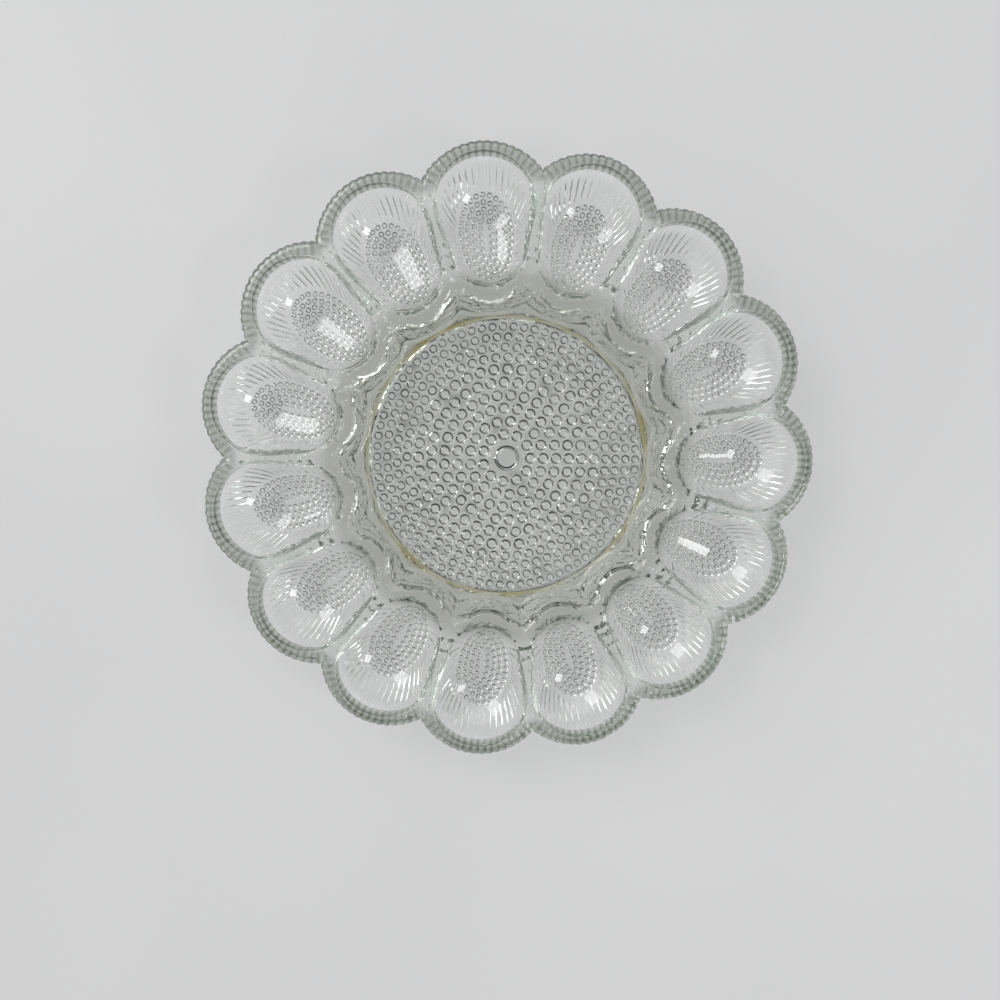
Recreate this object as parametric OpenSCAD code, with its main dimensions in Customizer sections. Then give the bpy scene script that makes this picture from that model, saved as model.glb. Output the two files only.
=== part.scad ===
// Pressed-glass egg platter: a round beaded well with a ring of egg cups under one crimped, scalloped rim.
// It lies on its foot ring, with the middle of the platter on the Z axis and one cup on +X.

/* [Platter] */
// Width across the peaks of the crimped rim
platter_d = 279.4; // [268:0.1:292]
// Height of the rim's top face above the table
rim_h = 30; // [29:0.5:33]
// Number of egg cups round the platter
cup_count = 15; // [14:1:16]

/* [Rim] */
// Radius of one scallop of the rim, seen from above
scallop_r = 32.7; // [31:0.1:34.5]
// Width of the rim's top face at the middle of a scallop, crimps included
rim_w = 5.7; // [5.1:0.1:6.3]
// Height of the crimped band below the rim's top face
crimp_band_h = 9; // [7:0.5:11]
// Radius of one crimp
crimp_r = 2.6; // [2.4:0.1:3.2]
// Number of crimps on one scallop
crimp_count = 17; // [15:1:19]

/* [Egg cups] */
// Thickness of the rib between two cups at its inner end
rib_t = 3.2; // [2.4:0.1:4.4]
// Thickness of the rib where it meets the rim
rib_out_t = 1.3; // [1.2:0.1:2.4]
// Distance of a cup's inner end from the middle of the platter
cup_in = 78; // [76:0.5:81]
// Thickness of the glass under a cup
cup_wall = 4; // [3.2:0.1:4.8]
// Height of the flared outer wall's lowest point above the lowest point of a cup
flare_lift = 3.6; // [3:0.1:4.6]

/* [Ribs and shoulder] */
// Height of the shoulder round the well
shoulder_h = 24.3; // [22:0.1:26]
// Distance from the middle at which a rib starts to climb to the rim
rib_climb_r = 104; // [98:1:110]
// Height of a rib where it starts to climb
rib_h = 25.6; // [24:0.1:27.5]
// Distance from the middle at which a rib reaches the rim's height
rib_top_r = 121.5; // [117:0.5:124]
// Height of the hollow under the shoulder and the ribs
groove_h = 17; // [14:0.5:18.5]
// Distance from the middle that the hollow's roof reaches
groove_r = 104; // [98:1:110]

/* [Well] */
// Radius of the well's floor plate
well_r = 66; // [64:0.5:67.5]
// Thickness of the well's floor
floor_t = 3.8; // [3:0.1:5]
// Distance of the well wall's foot from the middle, in line with a cup
wall_foot_r = 68; // [67.9:0.1:69.5]
// Radius of one lobe of the well's wall, seen from above
lobe_r = 42; // [38:0.5:48]
// Distance that the wall leans outward on its way up
wall_lean = 5; // [4:0.5:7]
// Radius of the rounded edge at the top of the wall
wall_edge_r = 3.5; // [2.5:0.5:5]
// Thickness of the well's wall
wall_t = 3.5; // [3.2:0.1:4.4]
// Distance from the middle to the ledge at a cup's inner end
ledge_in = 71.5; // [71:0.5:73]
// Radius of a ledge's outline, seen from above
ledge_r = 13.5; // [12:0.5:15]
// Distance that the wall below a ledge leans outward on its way up
ledge_lean = 3; // [2:0.5:3]
// Radius of the rounded edge of a ledge
ledge_edge_r = 1.2; // [0.8:0.1:2]

/* [Foot] */
// Height of the foot ring below the floor
foot_h = 2.4; // [2:0.1:3.5]
// Width of the foot ring
foot_w = 4; // [3:0.5:6]

/* [Beads] */
// Diameter of a large bead under the well
large_bead_d = 5.2; // [4.2:0.1:5.6]
// Number of rings of large beads
large_rings = 6; // [4:1:6]
// Distance from the middle to the first ring of beads
first_ring_r = 11.5; // [11:0.1:13]
// Distance between rings of large beads
large_ring_step = 6.2; // [6:0.1:6.4]
// Diameter of a bead on the innermost ring of small beads
small_bead_d = 4.4; // [3.6:0.1:4.6]
// Number of rings of small beads
small_rings = 4; // [2:1:4]
// Distance between rings of small beads
small_ring_step = 4.8; // [4.7:0.1:4.9]
// How much smaller the beads get from one ring of small beads to the next
small_bead_step = 0.2; // [0:0.05:0.3]
// Diameter of the plain button in the middle of the well
button_d = 11.4; // [10:0.1:12.5]
// Height of the button
button_h = 1.3; // [0.8:0.1:1.6]
// Diameter of a bead under a cup
cup_bead_d = 2.8; // [2.4:0.1:2.9]
// Height of a bead under the well as a share of its diameter
bead_h_share = 0.4; // [0.26:0.01:0.42]
// Height of a bead under a cup as a share of its diameter
cup_bead_h_share = 0.36; // [0.26:0.01:0.4]
// Half the length of the outermost oval of beads under a cup
patch_len = 20.7; // [19.6:0.1:21.2]
// Half the width of the outermost oval of beads under a cup
patch_w = 12.4; // [12:0.1:12.7]
// Distance that the beads' middle lies inward of the middle of the cup
patch_shift = 2.1; // [1.5:0.1:2.6]
// Distance between ovals of beads
patch_step = 3.2; // [3.15:0.05:3.3]
// Number of ovals of beads under a cup
patch_rings = 4; // [2:1:4]

/* [Hidden] */
// Room by which a cut runs past what it cuts
overrun = 1;
// Facets for the arcs of a revolved outline
arc_steps = 12;
// Steps for walking round an oval
oval_steps = 72;
// Smallest pitch of two beads, as a share of a bead's diameter
large_pitch_share = 1.27;
small_pitch_share = 1.33;
cup_pitch_share = 1.2;
// How much wider a patch of beads is towards the rim
patch_egg_share = 0.08;
// Width of the plain margin that keeps the flared wall off a patch, as a share of a bead's diameter
patch_margin_share = 0.9;
// Share of a rib's climb that is done at half its length
rib_climb_share = 0.4;
// Facets for the rounded top edge of a wall
edge_steps = 6;

platter_r = platter_d / 2;
sector = 360 / cup_count;
half = sector / 2;
reach = platter_r + overrun;
foot_z = 0;
floor_z = foot_z + foot_h;
floor_top = floor_z + floor_t;

// The round ends of a cup's hollow touch the two ribs beside it, and its sides widen outward as a cone
hollow_out = platter_r - rim_w;
big_c = (hollow_out + rib_out_t / 2) / (1 + sin(half));
big_r = big_c * sin(half) - rib_out_t / 2;
small_c = (cup_in - rib_t / 2) / (1 - sin(half));
small_r = small_c * sin(half) - rib_t / 2;
egg_half = asin((big_r - small_r) / (big_c - small_c));

// The scallop's circle, and the half angle between its two notches
scallop_c = platter_r - scallop_r;
notch_r = scallop_c * cos(half) + sqrt(pow(scallop_r, 2) - pow(scallop_c * sin(half), 2));
scallop_half = atan2(notch_r * sin(half), notch_r * cos(half) - scallop_c);
crimp_step = 2 * scallop_half / crimp_count;
crimp_c = scallop_r - crimp_r;
valley_r = crimp_c * cos(crimp_step / 2) + sqrt(pow(crimp_r, 2) - pow(crimp_c * sin(crimp_step / 2), 2));

// The middle of a lobe of the well's wall, and of a ledge
lobe_c = wall_foot_r + lobe_r;
ledge_c = ledge_in + ledge_r;

// The flared outer wall's lowest point
flare_z = rim_h - big_r - cup_wall + flare_lift;

// The middle of a cup's patch of beads
patch_c = (small_c + big_c) / 2 - patch_shift;

function two(k) = str(k < 10 ? "0" : "", k);
cup_ids = [for (k = [1 : cup_count]) two(k)];

// Points of an arc from angle a to angle b
function arc(x, y, r, a, b, steps = arc_steps) =
    [for (i = [0 : steps]) let (t = a + (b - a) * i / steps) [x + r * cos(t), y + r * sin(t)]];

// Radius of the egg shape at a distance x from the middle of the platter, grown outward by t
function egg_w(x, t) =
    let (lo = small_c - (small_r + t) * sin(egg_half), hi = big_c - (big_r + t) * sin(egg_half))
    x < lo ? sqrt(max(0, pow(small_r + t, 2) - pow(x - small_c, 2)))
    : x > hi ? sqrt(max(0, pow(big_r + t, 2) - pow(x - big_c, 2)))
    : (small_r + t) * cos(egg_half) + (x - lo) * tan(egg_half);

// Tilt of the egg shape's surface from its own axis at a distance x
function egg_tilt(x, t) =
    let (lo = small_c - (small_r + t) * sin(egg_half), hi = big_c - (big_r + t) * sin(egg_half))
    x < lo ? asin((small_c - x) / (small_r + t))
    : x > hi ? asin((big_c - x) / (big_r + t))
    : egg_half;

// An egg with its long axis along X at the rim's height, grown outward by t
module egg(t) {
    low = concat(
        arc(0, small_c, small_r + t, -90, -egg_half),
        arc(0, big_c, big_r + t, -egg_half, 90)
    );
    translate([0, 0, rim_h])
        rotate([0, 90, 0])
            rotate_extrude($fn = 96)
                polygon(low);
}

// The sector of the platter that one cup fills
module wedge() {
    far = 2 * reach;
    translate([0, 0, -overrun])
        linear_extrude(rim_h + 2 * overrun)
            polygon([[0, 0], [far * cos(half), -far * sin(half)], [far * cos(half), far * sin(half)]]);
}

// Everything below the rim, the ribs and the shoulder
module under_top() {
    rotate_extrude($fn = 180)
        polygon([
            [0, 0],
            [reach, 0],
            [reach, rim_h],
            [rib_top_r, rim_h],
            [(rib_top_r + rib_climb_r) / 2, rib_h + (rim_h - rib_h) * rib_climb_share],
            [rib_climb_r, rib_h],
            [wall_foot_r + wall_lean + wall_edge_r, shoulder_h],
            [0, shoulder_h]
        ]);
}

// A round body of radius r at its foot, whose wall leans in and ends in a rounded top edge
module leaning_wall(r, lean, edge_r) {
    top_r = r - lean - edge_r;
    tilt = atan2(lean, shoulder_h - edge_r - floor_top);
    rotate_extrude($fn = 128)
        polygon(concat(
            [[0, 0], [r, 0], [r, floor_top]],
            arc(top_r, shoulder_h - edge_r, edge_r, tilt, 90, edge_steps),
            [[top_r, rim_h + overrun], [0, rim_h + overrun]]
        ));
}

// One lobe of the well's wall, the ledge that stands out from it, the floor below them,
// and all that lies beyond the lobe's middle
module cup_side() {
    translate([lobe_c, 0, 0])
        leaning_wall(lobe_r, wall_lean, wall_edge_r);
    translate([ledge_c, 0, 0])
        leaning_wall(ledge_r + ledge_lean, ledge_lean, ledge_edge_r);
    cylinder(h = floor_top, r = lobe_c, $fn = 180);
    translate([lobe_c, -reach / 2, 0])
        cube([reach, reach, rim_h + overrun]);
}

// The hollow under the shoulder and the inner ends of the ribs
module groove() {
    translate([lobe_c, 0, -overrun])
        rotate_extrude($fn = 128)
            polygon([
                [0, 0],
                [lobe_r - wall_t, 0],
                [lobe_r - wall_t, floor_z + overrun],
                [lobe_r - wall_t - wall_lean, groove_h + overrun],
                [0, groove_h + overrun]
            ]);
}

// The shoulder and the inner ends of the ribs
module shoulder() {
    difference() {
        translate([0, 0, floor_z])
            cylinder(h = rim_h - floor_z, r = groove_r, $fn = 180);
        groove();
    }
}

// The column that a cup's patch of beads and its plain margin fill
module patch_column() {
    margin = cup_bead_d * patch_margin_share;
    step = 360 / oval_steps;
    translate([patch_c, 0, -overrun])
        linear_extrude(rim_h)
            polygon([for (i = [0 : oval_steps - 1]) oval(patch_len + margin, patch_w + margin, i * step)]);
}

// The wall below the rim, half of a flattened ball that fills the scallop's circle and keeps off the beads
module flare() {
    difference() {
        translate([scallop_c, 0, 0])
            rotate_extrude($fn = 128)
                polygon(concat(
                    [[0, rim_h]],
                    [for (p = arc(0, 0, 1, 0, -90)) [p[0] * valley_r, rim_h + p[1] * (rim_h - flare_z)]]
                ));
        patch_column();
    }
}

// The band of crimps round the scallop
module crimped_band() {
    translate([scallop_c, 0, rim_h - crimp_band_h])
        linear_extrude(crimp_band_h) {
            circle(r = valley_r, $fn = 128);
            for (i = [0 : crimp_count - 1])
                rotate(-scallop_half + crimp_step * (i + 0.5))
                    translate([crimp_c, 0])
                        circle(r = crimp_r, $fn = 32);
        }
}

// One egg cup on +X, with its scallop of the rim, its lobe of the well's wall and half of each rib beside it
module cup_shape() {
    difference() {
        intersection() {
            wedge();
            under_top();
            cup_side();
            union() {
                egg(cup_wall);
                flare();
                crimped_band();
                shoulder();
            }
        }
        egg(0);
        translate([0, 0, -overrun])
            cylinder(h = rim_h + 2 * overrun, r = well_r, $fn = 180);
    }
}

module egg_cup(k) {
    color("#dfe8e2")
        rotate(sector * (k - 1))
            cup_shape();
}

// A bead that hangs below its own origin
module bead(d, h_share) {
    h = d * h_share;
    r = (pow(d / 2, 2) + pow(h, 2)) / (2 * h);
    intersection() {
        translate([0, 0, r - h])
            sphere(r = r, $fn = 24);
        translate([0, 0, -2 * h])
            cylinder(h = 2 * h, r = d, $fn = 24);
    }
}

// A point on the oval outline of a patch, in the plane
function oval(a, b, turn) = [a * cos(turn), b * sin(turn) * (1 + patch_egg_share * cos(turn))];

// Pairs of the length walked round an oval and the angle reached
function oval_walk(a, b) =
    let (step = 360 / oval_steps)
    [for (
        i = 0, walked = 0;
        i <= oval_steps;
        walked = walked + norm(oval(a, b, (i + 1) * step) - oval(a, b, i * step)), i = i + 1
    ) [walked, i * step]];

// The ovals of beads that stand on the underside of a cup
module cup_beads(k) {
    color("#e8efea")
        rotate(sector * (k - 1))
            for (i = [0 : patch_rings - 1]) {
                a = patch_len - patch_step * i;
                b = patch_w - patch_step * i;
                walk = oval_walk(a, b);
                round_len = walk[oval_steps][0];
                count = floor(round_len / (cup_bead_d * cup_pitch_share));
                for (j = [0 : count - 1]) {
                    p = oval(a, b, lookup(round_len * j / count, walk));
                    x = patch_c + p[0];
                    w = egg_w(x, cup_wall);
                    translate([x, 0, rim_h])
                        rotate([asin(p[1] / w), 0, 0])
                            translate([0, 0, -w])
                                rotate([0, egg_tilt(x, cup_wall), 0])
                                    bead(cup_bead_d, cup_bead_h_share);
                }
            }
}

// One ring of beads under the well's floor
module bead_ring(r, d, pitch) {
    count = round(2 * PI * r / pitch);
    for (j = [0 : count - 1])
        rotate(360 * j / count)
            translate([r, 0, floor_z])
                bead(d, bead_h_share);
}

module well_beads() {
    color("#e8efea") {
        for (i = [0 : large_rings - 1])
            bead_ring(first_ring_r + large_ring_step * i, large_bead_d, large_bead_d * large_pitch_share);
        large_end = first_ring_r + large_ring_step * (large_rings - 1);
        small_start = large_end + (large_ring_step + small_ring_step) / 2;
        for (i = [0 : small_rings - 1]) {
            d = small_bead_d - small_bead_step * i;
            bead_ring(small_start + small_ring_step * i, d, d * small_pitch_share);
        }
    }
}

module well_floor() {
    color("#e3eae6")
        translate([0, 0, floor_z])
            cylinder(h = floor_t, r = well_r, $fn = 180);
}

module centre_button() {
    color("#eef3f0")
        translate([0, 0, floor_z - button_h])
            rotate_extrude($fn = 64)
                polygon([
                    [0, 0],
                    [button_d / 2 - button_h, 0],
                    [button_d / 2 - button_h / 4, button_h / 2],
                    [button_d / 2, button_h],
                    [0, button_h]
                ]);
}

module foot_ring() {
    color("#dbe5df")
        rotate_extrude($fn = 180)
            polygon([
                [well_r - foot_w / 4, floor_z],
                [well_r, foot_z],
                [well_r + foot_w / 2, foot_z],
                [well_r + foot_w * 3 / 4, floor_z]
            ]);
}

well_floor();
well_beads();
centre_button();
foot_ring();
for (k = [1 : cup_count]) {
    egg_cup(k);
    cup_beads(k);
}
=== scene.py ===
"""Clear pressed-glass egg platter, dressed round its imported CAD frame.

The shape is worked out in millimetres, as one sector that is repeated for each cup, and the well in the middle.
build() turns it into metres. The floor, the camera and the lights are in metres.
"""

import math

import bmesh
import bpy
import numpy as np
from mathutils import Matrix
from mathutils.geometry import delaunay_2d_cdt


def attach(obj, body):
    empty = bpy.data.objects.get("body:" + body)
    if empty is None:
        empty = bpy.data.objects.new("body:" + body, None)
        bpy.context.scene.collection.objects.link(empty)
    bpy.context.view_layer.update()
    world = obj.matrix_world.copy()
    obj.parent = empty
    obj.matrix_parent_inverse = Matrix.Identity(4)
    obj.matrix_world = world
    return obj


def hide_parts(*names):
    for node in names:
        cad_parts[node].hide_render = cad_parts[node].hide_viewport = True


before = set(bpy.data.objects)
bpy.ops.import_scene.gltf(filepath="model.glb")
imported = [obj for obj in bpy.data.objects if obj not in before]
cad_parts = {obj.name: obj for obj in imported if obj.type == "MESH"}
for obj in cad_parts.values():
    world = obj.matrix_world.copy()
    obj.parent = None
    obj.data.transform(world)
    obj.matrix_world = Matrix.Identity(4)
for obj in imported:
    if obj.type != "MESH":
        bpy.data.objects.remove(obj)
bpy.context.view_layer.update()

MM = 0.001

# The named sizes of the part's source
PLATTER_R = 139.7
RIM_H = 30.0
CUPS = 15
SCALLOP_R = 32.7
RIM_W = 5.7
CRIMP_R = 2.6
CRIMPS = 17
RIB_T = 3.2
RIB_OUT_T = 1.3
CUP_IN = 78.0
CUP_WALL = 4.0
FLARE_LIFT = 3.6
SHOULDER_H = 24.3
RIB_CLIMB_R = 104.0
RIB_H = 25.6
RIB_TOP_R = 121.5
RIB_CLIMB_SHARE = 0.4
GROOVE_H = 17.0
FLOOR_T = 3.8
WALL_FOOT_R = 68.0
LOBE_R = 42.0
WALL_LEAN = 5.0
WALL_EDGE_R = 3.5
WALL_T = 3.5
LEDGE_IN = 71.5
LEDGE_R = 13.5
LEDGE_LEAN = 3.0
LEDGE_EDGE_R = 1.2
FOOT_H = 2.4
BUTTON_D = 11.4
BUTTON_H = 1.3
BEAD_H_SHARE = 0.4
CUP_BEAD_D = 2.8
CUP_BEAD_H_SHARE = 0.36
PATCH_LEN = 20.7
PATCH_W = 12.4
PATCH_SHIFT = 2.1
PATCH_STEP = 3.2
PATCH_RINGS = 4
PATCH_EGG_SHARE = 0.08
CUP_PITCH_SHARE = 1.2

FLOOR_TOP = FOOT_H + FLOOR_T
HALF = math.pi / CUPS
HOLLOW_OUT = PLATTER_R - RIM_W
BIG_C = (HOLLOW_OUT + RIB_OUT_T / 2) / (1 + math.sin(HALF))
BIG_R = BIG_C * math.sin(HALF) - RIB_OUT_T / 2
SMALL_C = (CUP_IN - RIB_T / 2) / (1 - math.sin(HALF))
SMALL_R = SMALL_C * math.sin(HALF) - RIB_T / 2
EGG_HALF = math.asin((BIG_R - SMALL_R) / (BIG_C - SMALL_C))
CUP_MIDDLE = (SMALL_C + BIG_C) / 2
PATCH_C = CUP_MIDDLE - PATCH_SHIFT
SCALLOP_C = PLATTER_R - SCALLOP_R
LINE_X = SCALLOP_C * math.cos(HALF)
LINE_Y = SCALLOP_C * math.sin(HALF)
NOTCH_R = LINE_X + math.sqrt(SCALLOP_R**2 - LINE_Y**2)
SCALLOP_HALF = math.atan2(NOTCH_R * math.sin(HALF), NOTCH_R * math.cos(HALF) - SCALLOP_C)
CRIMP_STEP = 2 * SCALLOP_HALF / CRIMPS
CRIMP_C = SCALLOP_R - CRIMP_R
VALLEY_R = CRIMP_C * math.cos(CRIMP_STEP / 2) + math.sqrt(CRIMP_R**2 - (CRIMP_C * math.sin(CRIMP_STEP / 2)) ** 2)
LOBE_C = WALL_FOOT_R + LOBE_R
LEDGE_C = LEDGE_IN + LEDGE_R
FLARE_Z = RIM_H - BIG_R - CUP_WALL + FLARE_LIFT

# The upright band below the rim: its height, where the flared wall starts to bend into it, and its meshed end
BAND_Z = 22.5
BAND_BLEND_Z = 16.5
BAND_END_Z = 19.8
# The wall below a ledge, thinner than the rest
LEDGE_WALL_T = 2.6
# The plain floor inside the foot of the wall
WELL_EDGE_R = 65.5
# The outer edge of the foot ring
FOOT_OUT = 69.6

# Heights over which creases are rounded
CUSP_SOFT = 3.0
LEDGE_SOFT = 0.6
GROOVE_SOFT = 1.4
FLARE_SOFT = 1.6
RIB_SOFT = 2.4
# Width of the rounded edge round a hollow, and the reach and number of samples that soften the land's bends
EDGE_SOFT = 0.5
LAND_SOFT = 3
LAND_SAMPLES = 13
# The underside rises toward the cups from the groove's roof
ROOF_LIFT = 5
ROOF_FROM_R = 88
ROOF_TO_R = 108

# How finely the glass is meshed
HOLLOW_RAYS = 144
HOLLOW_ROWS = 24
EDGE_ROWS = 7
CRIMP_PARTS = 8
PHI_PARTS = 48
LINE_PARTS = 48
LAND_LINE_POINTS = 30
LAND_GRID = 1.6
LAND_GRID_PARTS = 37
LAND_GAP = 0.7
FLUTE_ROWS = 14
CUP_BEAD_PARTS = 14
WELL_BEAD_PARTS = 18
BUTTON_PARTS = 64
FLARE_SAMPLES = 400
SLOPE_STEP = 0.02
WALK_PARTS = 720
WELD_M = 1.5e-6

# The flutes under the cups: how many lie beside the line to the next cup and round the inner end, how far they
# stay from the patch of beads, their depth, and how soft they are
FLUTES_LINE = 7.5
FLUTES_INNER = 3.5
PATCH_MARGIN = 1.9
FLUTE_DEPTH = 0.85
SIDE_DEPTH = 0.7
SIDE_SHARE = 0.75
SOFT_FLUTES = 1.0
# Flute numbers between which they fade toward the inner end, and how much of them fades
FADE_FROM = 13
FADE_TO = 18
FADE_SHARE = 0.75
# Shares of the way out from the patch: where the flutes have risen to their depth, where they turn into the rim's
# crimps, and how the rows crowd toward the patch
RISE_SHARE = 0.09
CRIMP_SHARE = 0.75
ROW_CROWDING = 1.4
# The low ridge between the flutes and the patch: its height, place and width
RIDGE = 0.22
RIDGE_AT = 0.05
RIDGE_W = 0.035

# The rim's top and outer face, as rows of (distance in from the crimps' valleys, distance down from the top, share of
# the crimps' depth), and a height between the band and its meshed end
RIM_IN = (
    (4.5, 0, 0), (3.9, 0, 0.1), (3.3, 0.02, 0.2), (2.8, 0.12, 0.35), (2.1, 0.45, 0.62),
    (1.4, 1.1, 0.8), (0.8, 2.0, 0.8), (0.3, 3.2, 0.8), (0.05, 5.0, 0.8),
)
RIM_LOW_Z = 21.2

# The well's wall: heights of its rows, the rows over which the land's slope fades, and the fillet at its foot as
# (height, distance inward)
WALL_LEVELS = (24.3, 24.28, 24.22, 24.1, 23.9, 23.6, 23.1, 22.4, 21.5, 20.3, 17.0, 13.5, 10.5, 8.5)
WALL_BLEND_ROWS = 6
FOOT_FILLET = ((7.6, 0.1), (6.85, 0.45), (6.4, 1.0), (FLOOR_TOP, 1.8))

# The groove under the shoulder, as (height, distance outward), and the foot ring, as (radius, height)
GROOVE_LEVELS = (
    (16.2, -0.1), (14.5, 0), (11.5, 0), (8.5, 0), (6.2, 0), (4.6, 0.15), (3.5, 0.5), (2.8, 1.1), (FOOT_H, 1.9),
)
GROOVE_LEAST = 2.6
FOOT_PROFILE = (
    (FOOT_OUT, FOOT_H), (69.2, 2.2), (68.75, 1.4), (68.3, 0.6), (67.8, 0.12), (67.3, 0),
    (66.8, 0), (66.4, 0.12), (65.95, 0.6), (65.5, 1.4), (65.1, 2.2), (64.8, FOOT_H),
)

# Profiles of a bead and of the button, from the foot inward, as shares of the radius and the height
CUP_BEAD = ((1.09, 0), (1.0, 0.1), (0.93, 0.26), (0.78, 0.53), (0.56, 0.78), (0.3, 0.94))
WELL_BEAD = ((1.05, 0), (1.0, 0.1), (0.97, 0.32), (0.9, 0.53), (0.78, 0.72), (0.62, 0.86), (0.44, 0.94), (0.22, 0.985))
BUTTON = ((1.09, 0), (1.05, 0.08), (0.93, 0.94), (0.9, 1.0), (0.87, 0.97), (0.76, 0.25), (0.73, 0.2), (0.4, 0.2))
# Rings of beads under the well, as (radius of the ring, beads' diameter, number of beads)
WELL_RINGS = (
    (11.5, 5.2, 11), (17.7, 5.2, 17), (23.9, 5.2, 23), (30.1, 5.2, 29), (36.3, 5.2, 35), (42.5, 5.2, 40),
    (48.0, 4.4, 52), (52.8, 4.2, 59), (57.6, 4.0, 68), (62.4, 3.8, 78),
)
SHOWN_BEAD_D = CUP_BEAD_D - 0.2
# How much the beads vary: their heights, and the widths of those under the well
CUP_BEAD_VARY = 0.08
WELL_BEAD_VARY = 0.1
WELL_BEAD_LEAST_D = 0.97


def smooth_step(lo, hi, x):
    t = np.clip((x - lo) / (hi - lo), 0, 1)
    return t * t * (3 - 2 * t)


def smooth_min(a, b, k):
    """The lower of two heights, with the crease between them rounded over a height k."""
    h = np.maximum(k - np.abs(a - b), 0) / k
    return np.minimum(a, b) - h * h * k / 4


def egg_w(x, t):
    """Radius of the cup's egg at x, grown outward by t."""
    lo = SMALL_C - (SMALL_R + t) * math.sin(EGG_HALF)
    hi = BIG_C - (BIG_R + t) * math.sin(EGG_HALF)
    ends = np.where(x < lo, (SMALL_R + t) ** 2 - (x - SMALL_C) ** 2, (BIG_R + t) ** 2 - (x - BIG_C) ** 2)
    side = (SMALL_R + t) * math.cos(EGG_HALF) + (x - lo) * math.tan(EGG_HALF)
    return np.where((x < lo) | (x > hi), np.sqrt(np.maximum(ends, 0)), side)


def egg_height(x, y, t):
    """Height of the egg's lower side over a point of the plan. It is the rim's height outside the egg."""
    return RIM_H - np.sqrt(np.maximum(egg_w(x, t) ** 2 - y**2, 0))


def land(r):
    """Height of the shoulder, the ribs and the rim's top face, with the bends between them softened."""
    mid = (RIB_TOP_R + RIB_CLIMB_R) / 2
    rs = [0, WALL_FOOT_R + WALL_LEAN + WALL_EDGE_R, RIB_CLIMB_R, mid, RIB_TOP_R, 2 * PLATTER_R]
    zs = [SHOULDER_H, SHOULDER_H, RIB_H, RIB_H + (RIM_H - RIB_H) * RIB_CLIMB_SHARE, RIM_H, RIM_H]
    return np.mean([np.interp(r + d, rs, zs) for d in np.linspace(-LAND_SOFT, LAND_SOFT, LAND_SAMPLES)], axis=0)


def lobe_reach(phi, rho):
    """Distance from the platter's middle to the lobed wall of radius rho, with rounded cusps."""

    def one(a):
        return LOBE_C * np.cos(a) - np.sqrt(np.maximum(rho**2 - (LOBE_C * np.sin(a)) ** 2, 0))

    a = np.abs(phi)
    return smooth_min(one(a), one(2 * HALF - a), CUSP_SOFT)


def leaning_radius(z, foot, lean, edge_r):
    """Radius at a height of a round body whose wall leans in from its foot and ends in a rounded edge."""
    tilt = math.atan2(lean, SHOULDER_H - edge_r - FLOOR_TOP)
    top = foot - lean - edge_r
    knee_z = SHOULDER_H - edge_r * (1 - math.sin(tilt))
    rise = np.clip((z - SHOULDER_H + edge_r) / edge_r, 0, 1)
    knee = top + edge_r * math.cos(tilt)
    share = np.clip((z - FLOOR_TOP) / (knee_z - FLOOR_TOP), 0, 1)
    return np.where(z > knee_z, top + edge_r * np.sqrt(1 - rise**2), foot + (knee - foot) * share)


def ledge_reach(phi, rho):
    """Distance from the platter's middle to a ledge's outline of radius rho. It is far away beside the ledge."""
    inner = rho**2 - (LEDGE_C * np.sin(phi)) ** 2
    return np.where(inner > 0, LEDGE_C * np.cos(phi) - np.sqrt(np.maximum(inner, 0)), 2 * PLATTER_R)


def wall_reach(phi, z, lobe_t=0.0, ledge_t=0.0, soft=LEDGE_SOFT):
    """Distance from the platter's middle to the well's wall at a height, or to its other side where it has a
    thickness at the lobes and at the ledges."""
    lobe = lobe_reach(phi, leaning_radius(z, LOBE_R, WALL_LEAN, WALL_EDGE_R) - lobe_t)
    ledge = ledge_reach(phi, leaning_radius(z, LEDGE_R + LEDGE_LEAN, LEDGE_LEAN, LEDGE_EDGE_R) - ledge_t)
    return smooth_min(lobe, ledge, soft)


def groove_reach(phi, z):
    """Distance from the platter's middle to the inner side of the groove."""
    return wall_reach(phi, z, WALL_T, LEDGE_WALL_T, GROOVE_SOFT)


def flare_radius(z):
    """Radius of the flared wall at a height, which runs into the upright band below the rim."""
    flare = VALLEY_R * np.sqrt(np.maximum(1 - ((RIM_H - z) / (RIM_H - FLARE_Z)) ** 2, 0))
    return flare + smooth_step(BAND_BLEND_Z, BAND_Z, z) * (VALLEY_R - flare)


FLARE_HEIGHTS = np.linspace(FLARE_Z, BAND_Z, FLARE_SAMPLES)
FLARE_RADII = flare_radius(FLARE_HEIGHTS)


def under_one(x, y):
    """Height of one cup's underside over a point of the plan."""
    d = np.hypot(x - SCALLOP_C, y)
    flare = np.where(d < VALLEY_R, np.interp(d, FLARE_RADII, FLARE_HEIGHTS), RIM_H)
    return smooth_min(egg_height(x, y, CUP_WALL), flare, FLARE_SOFT)


def under(x, y):
    """Height of the underside of the cups and the shoulder, without flutes and beads."""
    z = under_one(x, y)
    for turn in (2 * HALF, -2 * HALF):
        c, s = math.cos(turn), math.sin(turn)
        z = smooth_min(z, under_one(c * x + s * y, c * y - s * x), RIB_SOFT)
    roof = GROOVE_H + ROOF_LIFT * smooth_step(ROOF_FROM_R, ROOF_TO_R, np.hypot(x, y))
    return smooth_min(z, roof, RIB_SOFT)


def normals_below(x, y):
    """Normals of the underside, which point down and out."""
    e = SLOPE_STEP
    gx = (under(x + e, y) - under(x - e, y)) / (2 * e)
    gy = (under(x, y + e) - under(x, y - e)) / (2 * e)
    n = np.stack([gx, gy, -np.ones_like(gx)], axis=-1)
    return n / np.linalg.norm(n, axis=-1, keepdims=True)


def crimp(phase):
    """Height of a crimp or flute across its width, from 0 in a valley to 1 on its crest."""
    delta = (phase - np.floor(phase) - 0.5) * CRIMP_STEP
    r = CRIMP_C * np.cos(delta) + np.sqrt(CRIMP_R**2 - (CRIMP_C * np.sin(delta)) ** 2)
    return (r - VALLEY_R) / (SCALLOP_R - VALLEY_R)


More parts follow.
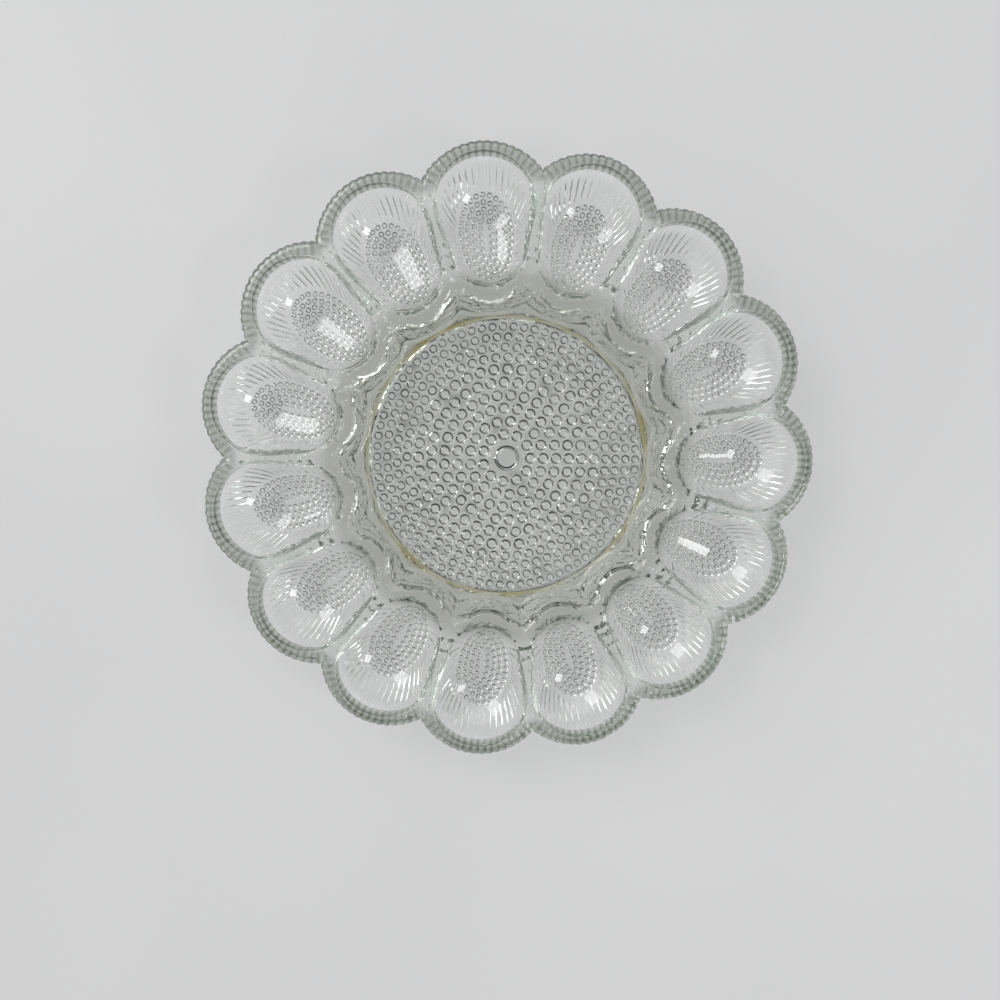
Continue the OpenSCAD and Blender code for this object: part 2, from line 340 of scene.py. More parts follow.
def polar(r, phi, z):
    r, phi, z = np.broadcast_arrays(r, phi, z)
    return np.stack([r * np.cos(phi), r * np.sin(phi), z], axis=-1)


def oval(a, b, t):
    """Plan points of an oval round the middle of the patch, a little wider at its outer end."""
    return np.stack([PATCH_C + a * np.cos(t), b * np.sin(t) * (1 + PATCH_EGG_SHARE * np.cos(t))], axis=-1)


def walk(points):
    """Distance walked along a line of points, at each of them."""
    return np.concatenate([[0], np.cumsum(np.hypot(*np.diff(points, axis=0).T))])


class Shell:
    """Gathers the faces of a closed skin."""

    def __init__(self):
        self.points, self.quads, self.tris, self.count = [], [], [], 0

    def add(self, points, quads=None, tris=None):
        points = np.asarray(points, float).reshape(-1, 3)
        if quads is not None:
            self.quads.append(np.asarray(quads).reshape(-1, 4) + self.count)
        if tris is not None:
            self.tris.append(np.asarray(tris).reshape(-1, 3) + self.count)
        self.points.append(points)
        self.count += len(points)

    def grid(self, rows, closed=False):
        """A sheet of quads through rows of points. A closed sheet joins each row's last point to its first."""
        rows = np.asarray(rows, float)
        n, m = rows.shape[:2]
        i, j = np.meshgrid(np.arange(n - 1), np.arange(m if closed else m - 1), indexing="ij")
        k = (j + 1) % m
        self.add(rows, quads=np.stack([i * m + j, i * m + k, (i + 1) * m + k, (i + 1) * m + j], axis=-1))

    def disc(self, rows, tip):
        """A closed sheet whose last row is drawn together in one point."""
        self.grid(rows, closed=True)
        last = np.asarray(rows[-1], float)
        m = len(last)
        j = np.arange(m)
        self.add(np.vstack([last, tip]), tris=np.stack([j, (j + 1) % m, np.full(m, m)], axis=-1))

    def turned(self, angle):
        """The points turned about the Z axis."""
        c, s = math.cos(angle), math.sin(angle)
        p = np.vstack(self.points)
        return np.stack([c * p[:, 0] - s * p[:, 1], s * p[:, 0] + c * p[:, 1], p[:, 2]], axis=-1)


def inside(points, loop):
    """True for the plan points that lie inside a closed outline."""
    a, b = loop, np.roll(loop, -1, axis=0)
    out = np.zeros(len(points), bool)
    for (ax, ay), (bx, by) in zip(a, b, strict=True):
        if ay == by:
            continue
        crosses = (ay > points[:, 1]) != (by > points[:, 1])
        out ^= crosses & (points[:, 0] < (bx - ax) * (points[:, 1] - ay) / (by - ay) + ax)
    return out


def fill(shell, loop, holes, loose=None, plan=None):
    """Fills a closed outline with triangles, apart from its convex holes. Points have three coordinates. Their plan,
    or one given for the outline where its straight parts bulge a little, decides the triangles."""
    loops = [np.asarray(loop, float)] + [np.asarray(h, float) for h in holes]
    edges, label, start = [], [], 0
    for k, one in enumerate(loops):
        n = len(one)
        edges += [(start + i, start + (i + 1) % n) for i in range(n)]
        label += [k] * n
        start += n
    points = np.vstack(loops + ([np.asarray(loose, float)] if loose is not None and len(loose) else []))
    label = np.array(label + [-1] * (len(points) - start))
    flat = points[:, :2].copy()
    if plan is not None:
        flat[:len(plan)] = plan
    out = delaunay_2d_cdt(flat.tolist(), edges, [], 0, 1e-7)
    ids = np.array([o[0] if o else -1 for o in out[3]])
    tris = ids[np.array([f for f in out[2]])]
    tris = tris[(tris >= 0).all(axis=1)]
    a, b, c = label[tris].T
    tris = tris[~((a == b) & (b == c) & (a > 0))]
    tris = tris[inside(flat[tris].mean(axis=1), flat[:len(loops[0])])]
    shell.add(points, tris=tris)


def far_from(points, loops, gap):
    """The plan points that keep a gap from all the outlines."""
    rims = np.vstack([np.asarray(one)[:, :2] for one in loops])
    near = np.array([np.min(np.hypot(*(rims - p[:2]).T)) for p in points])
    return points[near > gap]


rng = np.random.default_rng(15)
sector = Shell()

# The cup's hollow: rays from the middle of the cup to its edge, a rounded edge, and a little of the land beyond
turn = np.linspace(0, 2 * math.pi, HOLLOW_RAYS, endpoint=False)
dir_x, dir_y = np.cos(turn), np.sin(turn)


def farthest(test, reach=60.0, halvings=50):
    """Distance along each ray up to which a test holds."""
    lo, hi = np.zeros_like(turn), np.full_like(turn, reach)
    for _ in range(halvings):
        mid = (lo + hi) / 2
        ok = test(CUP_MIDDLE + mid * dir_x, mid * dir_y)
        lo, hi = np.where(ok, mid, lo), np.where(ok, hi, mid)
    return lo


def along_rays(s, height_at):
    """Points at distances along the rays, at the height that a function of the plan gives."""
    x, y = CUP_MIDDLE + s * dir_x, s * dir_y
    return np.stack([x, y, height_at(x, y)], axis=-1)


def on_hollow(s):
    return along_rays(s, lambda x, y: egg_height(x, y, 0))


def on_land(s):
    return along_rays(s, lambda x, y: land(np.hypot(x, y)))


wide = farthest(lambda x, y: egg_w(x, 0) ** 2 - y**2 > 0)
edge = farthest(lambda x, y: egg_height(x, y, 0) < land(np.hypot(x, y)) - 1e-9)
start_turn = np.arcsin(np.minimum(edge / wide, 1)) - EDGE_SOFT / (BIG_R + SMALL_R) * 2
rows = [on_hollow(wide * np.sin(start_turn * k / HOLLOW_ROWS)) for k in range(HOLLOW_ROWS, 0, -1)]
low_end, corner, high_end = rows[0], on_land(edge), on_land(edge + EDGE_SOFT)
soft_edge = [
    (1 - t) ** 2 * high_end + 2 * t * (1 - t) * corner + t**2 * low_end
    for t in np.linspace(0, 1, EDGE_ROWS)[:-1]
]
middle = np.array([[CUP_MIDDLE, 0, egg_height(np.array(CUP_MIDDLE), 0.0, 0)]], float)
sector.disc(soft_edge + rows, middle)
hollow_loop = soft_edge[0]

# The rim: its top face's outer edge, the crimped band and the start of the flared wall
u = np.linspace(-1, 1, CRIMPS * CRIMP_PARTS + 1)
crest = crimp((u + 1) / 2 * CRIMPS) * (SCALLOP_R - VALLEY_R)
crest[[0, -1]] = 0


def rim_row(radius, z, share):
    """A row of points round the scallop, at a radius in the valleys, with a share of the crimps' height."""
    reach = LINE_X + math.sqrt(radius**2 - LINE_Y**2)
    end = math.atan2(reach * math.sin(HALF), reach * math.cos(HALF) - SCALLOP_C)
    r = radius + share * crest
    return np.stack([SCALLOP_C + r * np.cos(u * end), r * np.sin(u * end), np.full_like(u, z)], axis=-1)


rim_profile = [(VALLEY_R - inward, RIM_H - down, share) for inward, down, share in RIM_IN] + [
    (VALLEY_R, BAND_Z, 0.8),
    (float(flare_radius(RIM_LOW_Z)), RIM_LOW_Z, 0.7),
    (float(flare_radius(BAND_END_Z)), BAND_END_Z, 0.6),
]
rim_rows = [rim_row(*p) for p in rim_profile]
sector.grid(rim_rows)

# The lobed wall of the well, from the shoulder down to the floor
phi = np.linspace(-HALF, HALF, PHI_PARTS + 1)
wall_rows = []
for k, z in enumerate(WALL_LEVELS):
    r = wall_reach(phi, np.array(z))
    lift = (land(r) - SHOULDER_H) * max(0, 1 - k / WALL_BLEND_ROWS)
    wall_rows.append(polar(r, phi, z + lift))
for z, inward in FOOT_FILLET:
    wall_rows.append(polar(wall_reach(phi, np.array(z)) - inward, phi, z))
wall_rows.append(polar(WELL_EDGE_R, phi, FLOOR_TOP))
sector.grid(wall_rows)

# The land between them: the shoulder, the ribs and the rim's top face. In plan the lines to the next sectors bulge
# a little, so that their triangles stay on the right side.
LINE_BULGE = 0.05
line_lo = float(wall_reach(np.array(HALF), np.array(SHOULDER_H)))
line_hi = float(np.hypot(*rim_rows[0][-1][:2]))
line_r = np.linspace(line_lo, line_hi, LAND_LINE_POINTS)[1:-1]
upper_line = polar(line_r, HALF, land(line_r))
lower_line = polar(line_r, -HALF, land(line_r))
land_loop = np.vstack([rim_rows[0], upper_line[::-1], wall_rows[0][::-1], lower_line])
bulge = np.sin(np.linspace(0, math.pi, len(line_r) + 2)[1:-1]) * LINE_BULGE
land_plan = land_loop[:, :2].copy()
up_at = len(rim_rows[0])
low_at = up_at + len(line_r) + len(wall_rows[0])
land_plan[up_at:up_at + len(line_r)] += bulge[:, None] * np.array([-math.sin(HALF), math.cos(HALF)])
land_plan[low_at:] += bulge[:, None] * np.array([-math.sin(HALF), -math.cos(HALF)])
grid_phi = np.linspace(-HALF, HALF, LAND_GRID_PARTS)[1:-1]
grid_r, grid_phi = np.meshgrid(np.arange(70, 139, LAND_GRID), grid_phi, indexing="ij")
loose = polar(grid_r.ravel(), grid_phi.ravel(), land(grid_r.ravel()))
loose = loose[inside(loose[:, :2], land_loop[:, :2]) & ~inside(loose[:, :2], hollow_loop[:, :2])]
fill(sector, land_loop, [hollow_loop], far_from(loose, [land_loop, hollow_loop], LAND_GAP), land_plan)

# The fluted underside of the cup, between the rim, the ribs, the shoulder and the patch of beads. Its outer and inner
# outlines are made for one half and mirrored. phase counts the flutes along them.
rim_end = rim_rows[-1]
plain_end = rim_row(rim_profile[-1][0], BAND_END_Z, 0)
half_cols = len(u) // 2
line_end = float(np.hypot(*rim_end[-1][:2]))
groove_r = float(groove_reach(np.array(HALF), np.array(GROOVE_H)))
side_r = np.linspace(line_end, groove_r, LINE_PARTS + 1)[1:]
arc_phi = np.linspace(HALF, 0, PHI_PARTS // 2 + 1)[1:]
arc_r = groove_reach(arc_phi, np.array(GROOVE_H))
outer_half = np.vstack([
    plain_end[half_cols:, :2],
    np.stack([side_r * math.cos(HALF), side_r * math.sin(HALF)], axis=-1),
    np.stack([arc_r * np.cos(arc_phi), arc_r * np.sin(arc_phi)], axis=-1),
])
n_out = half_cols + 1
rim_phase = np.linspace(0, CRIMPS / 2, n_out)
side_phase = CRIMPS / 2 + np.linspace(0, FLUTES_LINE, LINE_PARTS + 1)[1:]
inner_phase = side_phase[-1] + np.linspace(0, FLUTES_INNER, PHI_PARTS // 2 + 1)[1:]
phase_half = np.concatenate([rim_phase, side_phase, inner_phase])
walk_t = np.linspace(0, math.pi, WALK_PARTS + 1)
walked = walk(oval(PATCH_LEN + PATCH_MARGIN, PATCH_W + PATCH_MARGIN, walk_t))
oval_t = np.interp(phase_half / phase_half[-1], walked / walked[-1], walk_t)
inner_half = oval(PATCH_LEN + PATCH_MARGIN, PATCH_W + PATCH_MARGIN, oval_t)
spot = np.arange(len(phase_half))


def both_halves(half, mirror=1):
    """The values of one half and of the other, which runs back to the start."""
    return np.concatenate([half, half[-2:0:-1] * mirror])


outer, inner = (both_halves(half, np.array([1, -1])) for half in (outer_half, inner_half))
on_rim = both_halves(spot < n_out) > 0
on_arc = both_halves(spot >= n_out + LINE_PARTS - 1) > 0
# A crimp's crest lies on the cup's axis where the crimps' number is odd
phase = both_halves(phase_half) + 0.5 * (CRIMPS % 2 == 0)
height = crimp(phase + 0.5)
rounded = 0.5 + 0.5 * np.cos(2 * math.pi * phase)
depth = np.where(on_rim, 1.0, SIDE_SHARE) * (1 - FADE_SHARE * smooth_step(FADE_FROM, FADE_TO, phase))
radial = outer - np.array([SCALLOP_C, 0])
radial = np.hstack([radial / np.linalg.norm(radial, axis=1, keepdims=True), np.zeros((len(outer), 1))])
band_end_depth = rim_profile[-1][2] * (SCALLOP_R - VALLEY_R)
flute_rows = []
for q in np.linspace(1, 0, FLUTE_ROWS + 1):
    g = 1 - (1 - q) ** ROW_CROWDING
    plan = inner + (outer - inner) * g
    base = np.hstack([plan, under(plan[:, 0], plan[:, 1])[:, None]])
    out = normals_below(plan[:, 0], plan[:, 1])
    if q == 1:
        # On the line between two cups the flutes stand out along that line's upright plane
        sides = np.sign(plan[:, 1]) * HALF
        across = np.stack([-np.sin(sides), np.cos(sides), 0 * sides], axis=-1)
        out -= across * np.sum(out * across, axis=1, keepdims=True)
    blend = (smooth_step(CRIMP_SHARE, 1, g) * on_rim)[:, None]
    out = out * (1 - blend) + radial * blend
    out /= np.linalg.norm(out, axis=1, keepdims=True)
    amount = FLUTE_DEPTH + (band_end_depth - FLUTE_DEPTH) * smooth_step(0.5, 1, g)
    amount = np.where(on_rim, amount, SIDE_DEPTH * (1 - on_arc * smooth_step(0.3, 0.9, g)))
    fade = smooth_step(0, RISE_SHARE, g)
    ridge = RIDGE * np.exp(-(((g - RIDGE_AT) / RIDGE_W) ** 2))
    soft = SOFT_FLUTES * (1 - smooth_step(CRIMP_SHARE, 1, g))
    raised = height * (1 - soft) + rounded * soft
    flute_rows.append(base + ((amount * depth * raised + ridge * (1 - height)) * fade)[:, None] * out)
first = flute_rows.pop(0)
first[:n_out] = rim_end[half_cols:]
first[len(outer) - half_cols:] = rim_end[:half_cols]
sector.grid([first] + flute_rows, closed=True)


def bead_rings(centre, tilt, d, h, profile, parts):
    """Rows of points round a bead that hangs from a surface, from its foot inward, and its tip. tilt holds two
    directions along the surface and the one out of it."""
    t = np.linspace(0, 2 * math.pi, parts, endpoint=False)
    side = np.cos(t)[:, None] * tilt[0] + np.sin(t)[:, None] * tilt[1]
    return [centre + side * (q * d / 2) + tilt[2] * (h * up) for q, up in profile], centre + tilt[2] * h


# The patch of beads under the cup
bead_loops, cup_spots = [], []
for i in range(PATCH_RINGS):
    a, b = PATCH_LEN - PATCH_STEP * i, PATCH_W - PATCH_STEP * i
    t = np.linspace(0, 2 * math.pi, WALK_PARTS + 1)
    far = walk(oval(a, b, t))
    count = int(far[-1] / (CUP_BEAD_D * CUP_PITCH_SHARE))
    for x, y in oval(a, b, np.interp(far[-1] * np.arange(count) / count, far, t)):
        n = normals_below(np.array([x]), np.array([y]))[0]
        along = np.cross([0, 1.0, 0], n)
        along /= np.linalg.norm(along)
        tilt = (along, np.cross(n, along), n)
        centre = np.array([x, y, float(under(np.array(x), np.array(y)))])
        h = SHOWN_BEAD_D * CUP_BEAD_H_SHARE * (1 + rng.uniform(-CUP_BEAD_VARY, CUP_BEAD_VARY))
        rings, tip = bead_rings(centre, tilt, SHOWN_BEAD_D, h, CUP_BEAD, CUP_BEAD_PARTS)
        rings[0][:, 2] = under(rings[0][:, 0], rings[0][:, 1])
        sector.disc(rings, tip[None, :])
        bead_loops.append(rings[0])
        cup_spots.append(centre)
fill(sector, flute_rows[-1], bead_loops)

# The groove below the shoulder, the underside of the wall and the foot ring
groove_rows = [polar(groove_reach(phi, np.array(GROOVE_H)), phi, 0)]
groove_rows[0][:, 2] = under(groove_rows[0][:, 0], groove_rows[0][:, 1])
for z, outward in GROOVE_LEVELS:
    last_r = np.maximum(groove_reach(phi, np.array(max(z, FLOOR_TOP))), FOOT_OUT + GROOVE_LEAST) - outward
    groove_rows.append(polar(last_r, phi, z))
groove_rows.append(polar((last_r + FOOT_OUT) / 2, phi, FOOT_H))
groove_rows += [polar(r, phi, z) for r, z in FOOT_PROFILE]
sector.grid(groove_rows)

# The whole skin: fifteen sectors and the floor of the well
whole = Shell()
for k in range(CUPS):
    base = whole.count
    whole.add(sector.turned(2 * HALF * k))
    whole.quads.append(np.vstack(sector.quads) + base)
    whole.tris.append(np.vstack(sector.tris) + base)
round_phi = np.concatenate([phi[:-1] + 2 * HALF * k for k in range(CUPS)])
# A grid of points on the floor, turned and sheared a little so that no four of them share a circle
gx, gy = (g.ravel() for g in np.meshgrid(np.arange(-63, 64, 4.5), np.arange(-63, 64, 4.5)))
loose = np.stack([gx + 0.01 * gy, gy - 0.013 * gx, np.full(gx.size, FLOOR_TOP)], axis=-1)
loose = loose[np.hypot(loose[:, 0], loose[:, 1]) < WELL_EDGE_R - 2]
fill(whole, polar(WELL_EDGE_R, round_phi, FLOOR_TOP), [], loose)

# The beads and the button under the well
FLAT = (np.array([1.0, 0, 0]), np.array([0, 1.0, 0]), np.array([0, 0, -1.0]))
loops, well_spots, well_radii = [], [], []
for r, d, count in WELL_RINGS:
    for k in range(count):
        a = 2 * math.pi * k / count
        grown = 1 + rng.uniform(-WELL_BEAD_VARY, WELL_BEAD_VARY)
        shown_d = d * rng.uniform(WELL_BEAD_LEAST_D, 1)
        foot = np.array([r * math.cos(a), r * math.sin(a), FOOT_H])
        rings, tip = bead_rings(foot, FLAT, shown_d, d * BEAD_H_SHARE * grown, WELL_BEAD, WELL_BEAD_PARTS)
        whole.disc(rings, tip[None, :])
        loops.append(rings[0])
        well_spots.append(foot)
        well_radii.append(d / 2)
t = np.linspace(0, 2 * math.pi, BUTTON_PARTS, endpoint=False)
rings = [polar(q * BUTTON_D / 2, t, FOOT_H - BUTTON_H * up) for q, up in BUTTON]
whole.disc(rings, np.array([[0, 0, FOOT_H - BUTTON_H * BUTTON[-1][1]]]))
loops.append(rings[0])
fill(whole, polar(FOOT_PROFILE[-1][0], round_phi, FOOT_H), loops)

# Where the glass is tinted, mostly with painted shade, as vertex attributes
MASKS = ("rim_band_painted_shade", "foot_line", "waves", "shoulder", "well_painted_shade", "button_painted_rings", "bead_feet_painted_shade")
FLATTEN = np.array([1, 1, 0])
POINTS_AT_ONCE = 4000
# A bead's foot, where its painted dark ring lies, in shares of its radius: where it starts, is full, starts to end and
# ends
FOOT_SHARES = (0.86, 0.94, 1.01, 1.04)
# The amber line's middle and width, and how much nearer the ribs it moves out and widens
AMBER_LINE_R, AMBER_LINE_OUT = 66.9, 0.6
AMBER_LINE_W, AMBER_LINE_WIDER = 0.6, 1.3
# The button's two dark rings of painted shade, as (radius, width)
BUTTON_RINGS = ((5.98, 0.15), (5.0, 0.25))


def foot_share(p, chosen, spots, radii):
    """How near the chosen points lie to the foot of a bead, from 0 to 1."""
    share = np.zeros(len(p))
    where_to = np.flatnonzero(chosen)
    for start in range(0, len(where_to), POINTS_AT_ONCE):
        part = where_to[start:start + POINTS_AT_ONCE]
        q = np.linalg.norm(p[part][:, None] - np.array(spots)[None], axis=2) / np.array(radii)
        share[part] = np.max(smooth_step(*FOOT_SHARES[:2], q) * (1 - smooth_step(*FOOT_SHARES[2:], q)), axis=1)
    return share


def bell(x, middle, width):
    return np.exp(-(((x - middle) / width) ** 2))


def masks(p):
    """Shares at each point of the effects that MASKS names: the painted shade on the rim's band, the amber line at
    the foot of the wall, the waves that the mould left in the shoulder and the ribs, the painted shade on the shoulder
    and under the well, and the painted dark rings of the button and round the feet of the beads."""
    r, a = np.hypot(p[:, 0], p[:, 1]), np.arctan2(p[:, 1], p[:, 0])
    local = (a + HALF) % (2 * HALF) - HALF
    x, y, z = r * np.cos(local), r * np.sin(local), p[:, 2]
    near_rib = 0.5 - 0.5 * np.cos(a * CUPS)
    patchy = 0.5 + 0.5 * np.sin(a * 2 + 0.6) * np.cos(a * 5 - 1.1)
    near_floor = z < FOOT_H + 0.1

    # Painted shade: the rim's band is darkened, in streaks along its crimps, and a little at the top of the hollows'
    # wall near the rim
    outside = (egg_w(x, 0.4) ** 2 - y**2 < (RIM_H - z) ** 2) & (z > BAND_END_Z - 0.1)
    streak = 1 - crimp((np.arctan2(y, x - SCALLOP_C) / SCALLOP_HALF + 1) / 2 * CRIMPS)
    inner_wall = smooth_step(26.5, 28.5, z) * (r > 119)
    rim = np.where(outside, smooth_step(119, 125, r), 0.75 * inner_wall * smooth_step(122, 128, r))
    rim = rim * (0.55 + 0.45 * streak)

    amber_w = AMBER_LINE_W + AMBER_LINE_WIDER * near_rib**2 * patchy
    line = bell(r, AMBER_LINE_R + AMBER_LINE_OUT * near_rib, amber_w) * (z < FLOOR_TOP + 2.5)
    line = line * (0.55 + 0.45 * patchy)

    # The shoulder's band: it carries painted shade in the glass's colour, and the mould's waves in its bump
    shoulder = smooth_step(66, 69, r) * (1 - smooth_step(80, 90, r))
    below = (r < WELL_EDGE_R) * near_floor * 1.0
    waves = shoulder + smooth_step(HALF * 0.72, HALF * 0.92, np.abs(local)) * (r > 80) + 0.5 * below
    # Painted shade: two dark rings on the button
    ring = (bell(r, *BUTTON_RINGS[0]) + bell(r, *BUTTON_RINGS[1])) * near_floor
    # Painted shade under the well, strongest on the flat between the beads and kept off the button's rings
    flat = below * (0.7 + 0.3 * smooth_step(FOOT_H - 0.6, FOOT_H - 0.1, z)) * (1 - ring)

    # Painted shade: dark rings round the feet of the beads under the cups and under the well
    under_cup = (r > 80) & (r < 130) & (z < egg_height(x, y, 1.5))
    feet = foot_share(np.stack([x, y, z], axis=-1), under_cup, cup_spots, [SHOWN_BEAD_D / 2])
    feet = feet + foot_share(p * FLATTEN, (below > 0) & (r > 8), np.array(well_spots) * FLATTEN, well_radii)
    return rim, line, np.clip(waves, 0, 1), shoulder, flat, np.clip(ring, 0, 1), feet


def build(name, shell):
    """A Blender object of the shell's faces, welded where they meet, with the masks as attributes."""
    mesh = bpy.data.meshes.new(name)
    quads, tris = np.vstack(shell.quads), np.vstack(shell.tris)
    mesh.from_pydata(np.vstack(shell.points) * MM, [], quads.tolist() + tris.tolist())
    bm = bmesh.new()
    bm.from_mesh(mesh)
    bmesh.ops.remove_doubles(bm, verts=bm.verts, dist=WELD_M)
    bmesh.ops.recalc_face_normals(bm, faces=bm.faces)
    open_edges = sum(1 for e in bm.edges if len(e.link_faces) != 2)
    print("open edges", open_edges, "faces", len(bm.faces), "volume cm3", bm.calc_volume() * 1e6)
    bm.to_mesh(mesh)
    bm.free()
    places = np.empty(len(mesh.vertices) * 3)
    mesh.vertices.foreach_get("co", places)
    for key, values in zip(MASKS, masks(places.reshape(-1, 3) / MM), strict=True):
        mesh.attributes.new(key, "FLOAT", "POINT").data.foreach_set("value", values.astype(np.float32))
    mesh.shade_smooth()
    piece = bpy.data.objects.new(name, mesh)
    bpy.context.scene.collection.objects.link(piece)
    return piece


platter = build("glass_platter", whole)


class Tree:
    """Makes shader nodes. An input is a socket to link, or a constant that is set on the node's own socket."""

    def __init__(self, owner):
        owner.use_nodes = True
        self.nodes, self.links = owner.node_tree.nodes, owner.node_tree.links

    def connect(self, node, inputs):
        for key, value in inputs.items():
            if isinstance(value, bpy.types.NodeSocket):
                self.links.new(value, node.inputs[key])
            else:
                node.inputs[key].default_value = value
        return node

    def node(self, kind, inputs=None, **settings):
        n = self.nodes.new("ShaderNode" + kind)
        for name, value in settings.items():
            setattr(n, name, value)
        return self.connect(n, inputs or {})

    def noise(self, scale, detail):
        where = self.node("TexCoord").outputs["Object"]
        return self.node("TexNoise", {"Vector": where, "Scale": scale, "Detail": detail}).outputs["Fac"]

    def math(self, operation, a, b):
        return self.node("Math", {0: a, 1: b}, operation=operation).outputs["Value"]

    def spread(self, value, lo, hi, out_lo, out_hi, shape="LINEAR"):
        """Maps a value's range to another, held at its ends."""
        ends = {"From Min": lo, "From Max": hi, "To Min": out_lo, "To Max": out_hi}
        return self.node("MapRange", {"Value": value, **ends}, interpolation_type=shape).outputs["Result"]

    def bump(self, height, distance, **more):
        return self.node("Bump", {"Height": height, "Strength": 1.0, "Distance": distance, **more}).outputs["Normal"]

    def mask(self, key):
        return self.node("Attribute", attribute_name=key).outputs["Fac"]

    def tinted(self, colour, key, tint):
        """A colour that turns to a tint where the skin's mask is strong."""
        inputs = {"Fac": self.mask(key), "Color1": colour, "Color2": (*tint, 1)}
        return self.node("MixRGB", inputs).outputs["Color"]


def material(name):
    m = bpy.data.materials.new(name)
    tree = Tree(m)
    tree.nodes.clear()
    return m, tree


# Clear glass, faintly green where it is thick, with the soft ripple that a pressing mould leaves. Its tints are an
# amber line at the foot of the wall and painted shade: the rim's band, the shoulder, the well, the button's rings and
# the beads' feet.
CLEAR = (0.995, 1.0, 0.995, 1)
TINTS = (
    # Painted shade on the rim's band
    ("rim_band_painted_shade", (0.075, 0.105, 0.042)),
    # Painted shade on the shoulder
    ("shoulder", (0.76, 0.775, 0.715)),
    # Painted shade under the well
    ("well_painted_shade", (0.80, 0.815, 0.78)),
    # Painted shade: the button's dark rings
    ("button_painted_rings", (0.01, 0.01, 0.01)),
    # Painted shade round the beads' feet
    ("bead_feet_painted_shade", (0.27, 0.28, 0.26)),
    ("foot_line", (0.40, 0.32, 0.0)),
)
GLASS_IOR = 1.52
HAZE = 0.035
RIPPLE_M = 0.00006
WAVE_M = 0.0009
DEPTH_COLOUR = (0.55, 0.80, 0.62, 1)
DEPTH_DENSITY = 9.0

glass, tree = material("pressed_glass")
colour = CLEAR
for key, tint in TINTS:
    colour = tree.tinted(colour, key, tint)
ripple = tree.bump(tree.noise(170, 2), RIPPLE_M)
swell = tree.math("MULTIPLY", tree.noise(260, 1), tree.mask("waves"))
skin = tree.node("BsdfPrincipled", {
    "Base Color": colour,
    "IOR": GLASS_IOR,
    "Transmission Weight": 1.0,
    "Roughness": tree.spread(tree.noise(420, 3), 0.35, 0.75, 0.0, HAZE),
    "Normal": tree.bump(swell, WAVE_M, Normal=ripple),
})
depth_tint = tree.node("VolumeAbsorption", {"Color": DEPTH_COLOUR, "Density": DEPTH_DENSITY})
tree.node("OutputMaterial", {"Surface": skin.outputs["BSDF"], "Volume": depth_tint.outputs["Volume"]})
platter.data.materials.append(glass)
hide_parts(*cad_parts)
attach(platter, "root")

# The floor: pale paper, seen in part as a plain background that keeps the platter's shadow
BACKGROUND_SHARE = 0.62
PAPER_DARK = (0.66, 0.662, 0.672, 1)
PAPER_PALE = (0.70, 0.702, 0.71, 1)
FLOOR_SIDE = 8.0

paper, tree = material("pale_floor")
grain = tree.noise(900, 4)
shade = tree.node("ValToRGB", {"Fac": tree.noise(3, 2)})
for stop, place, tone in zip(shade.color_ramp.elements, (0.3, 0.7), (PAPER_DARK, PAPER_PALE), strict=True):
    stop.position, stop.color = place, tone
skin = tree.node("BsdfPrincipled", {
    "Base Color": shade.outputs["Color"],
    "Roughness": tree.spread(grain, 0.3, 0.7, 0.7, 0.85),
    "Normal": tree.bump(grain, 0.00005),
})
glow = tree.node("Emission", {"Color": shade.outputs["Color"]})
ray = tree.node("LightPath").outputs
seen = tree.math("MAXIMUM", ray["Is Camera Ray"], ray["Is Transmission Ray"])
seen = tree.math("MAXIMUM", seen, ray["Is Glossy Ray"])
share = tree.math("MULTIPLY", seen, BACKGROUND_SHARE)
both = tree.node("MixShader", {"Fac": share, 1: skin.outputs["BSDF"], 2: glow.outputs["Emission"]})
tree.node("OutputMaterial", {"Surface": both.outputs["Shader"]})
mesh = bpy.data.meshes.new("floor")
corners = [(-1, -1), (1, -1), (1, 1), (-1, 1)]
mesh.from_pydata([(x * FLOOR_SIDE, y * FLOOR_SIDE, 0) for x, y in corners], [], [(0, 1, 2, 3)])
floor = bpy.data.objects.new("floor", mesh)
mesh.materials.append(paper)
bpy.context.scene.collection.objects.link(floor)

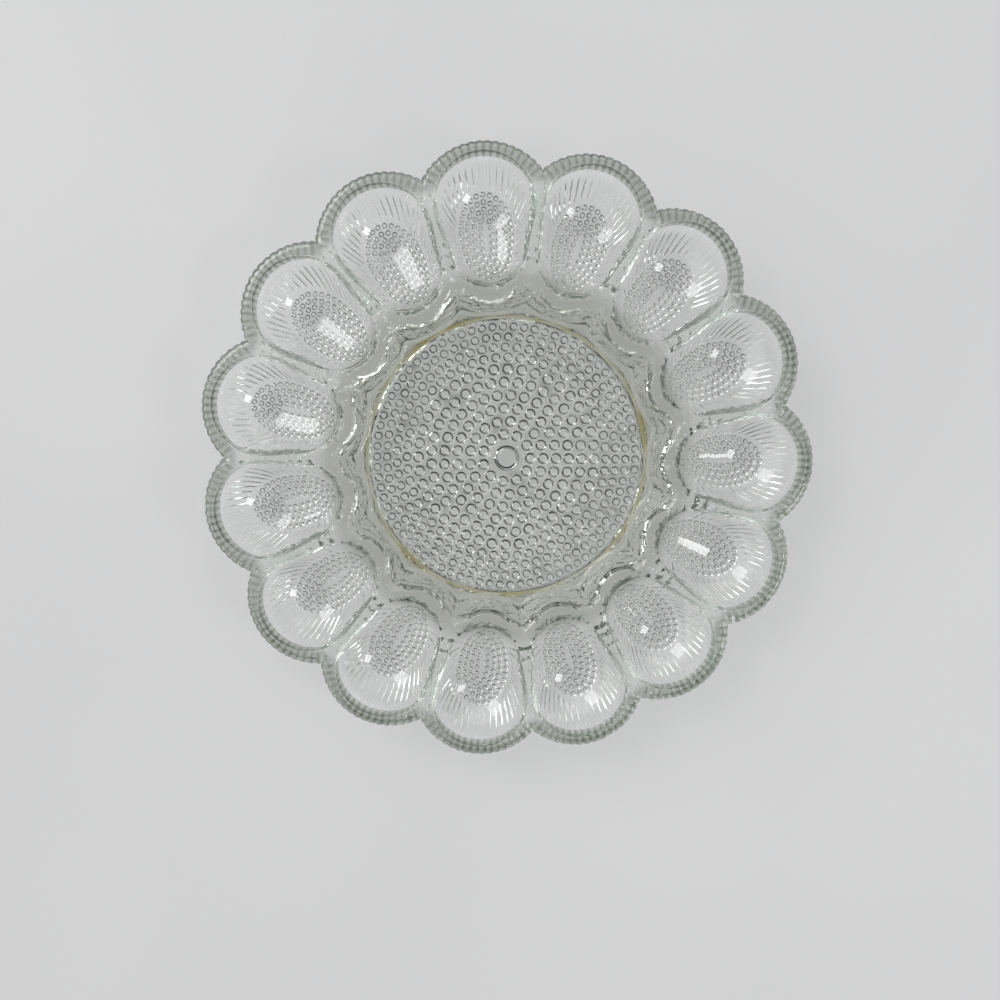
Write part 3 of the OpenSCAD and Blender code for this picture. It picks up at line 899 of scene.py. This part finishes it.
# The camera, where the photograph was taken from: it looks down on the platter, a little from the left. It was fitted
# with the image's Y axis down, as a turn in radians about one axis and a shift in millimetres.
CAMERA_TURN = (-0.110044, -0.022432, -0.011106)
CAMERA_SHIFT = (3.1242, 20.6716, 370.5957)
FOCAL_PX = 760.0
FRAME_PX = 1000.0
angle = np.linalg.norm(CAMERA_TURN)
kx, ky, kz = np.array(CAMERA_TURN) / angle
cross = np.array([[0, -kz, ky], [kz, 0, -kx], [-ky, kx, 0]])
photo_turn = np.eye(3) + math.sin(angle) * cross + (1 - math.cos(angle)) * cross @ cross
flip = np.diag([1.0, 1.0, -1.0])
turn_in = flip @ photo_turn @ flip
place = np.eye(4)
place[:3, :3] = turn_in.T
place[:3, 3] = -turn_in.T @ (flip @ np.array(CAMERA_SHIFT)) * MM
camera_data = bpy.data.cameras.new("camera")
camera_data.sensor_width = 36.0
camera_data.lens = camera_data.sensor_width * FOCAL_PX / FRAME_PX
camera_data.clip_start = 0.01
camera = bpy.data.objects.new("camera", camera_data)
camera.matrix_world = Matrix(place.tolist())
bpy.context.scene.collection.objects.link(camera)
bpy.context.scene.camera = camera


# The light: two windows
def softbox(name, place, side, power):
    """A square lamp that looks at the platter."""
    data = bpy.data.lights.new(name, "AREA")
    data.shape = "RECTANGLE"
    data.size = data.size_y = side
    data.energy = power
    lamp = bpy.data.objects.new(name, data)
    lamp.location = place
    lamp.rotation_euler = (-lamp.location).to_track_quat("-Z", "Y").to_euler()
    bpy.context.scene.collection.objects.link(lamp)


softbox("window_left", (-0.95, 0.8, 1.0), 0.85, 11)
softbox("window_right", (0.85, -0.35, 0.85), 0.35, 3.5)

# The room: pale at the sides, darker overhead where the camera stands and low on the right
world = bpy.data.worlds.new("studio")
bpy.context.scene.world = world
tree = Tree(world)
sky = tree.node("TexCoord").outputs["Generated"]


def facing(direction, lo, hi, out_lo, out_hi):
    """A soft zone of the room, strongest where the sky lies in a direction."""
    dot = tree.node("VectorMath", {0: sky, 1: direction}, operation="DOT_PRODUCT").outputs["Value"]
    return tree.spread(dot, lo, hi, out_lo, out_hi, "SMOOTHSTEP")


overhead = facing((0.1, -0.15, 0.98), 0.62, 0.88, 1.0, 0.01)
to_left = facing((-0.75, 0.63, 0.2), -0.4, 0.55, 0.2, 1.25)
strength = tree.math("MULTIPLY", overhead, to_left)
tree.connect(tree.nodes["Background"], {"Color": (1.0, 0.995, 0.99, 1), "Strength": strength})

scene = bpy.context.scene
scene.view_settings.view_transform = "Standard"
scene.cycles.max_bounces = 24
scene.cycles.transmission_bounces = 24
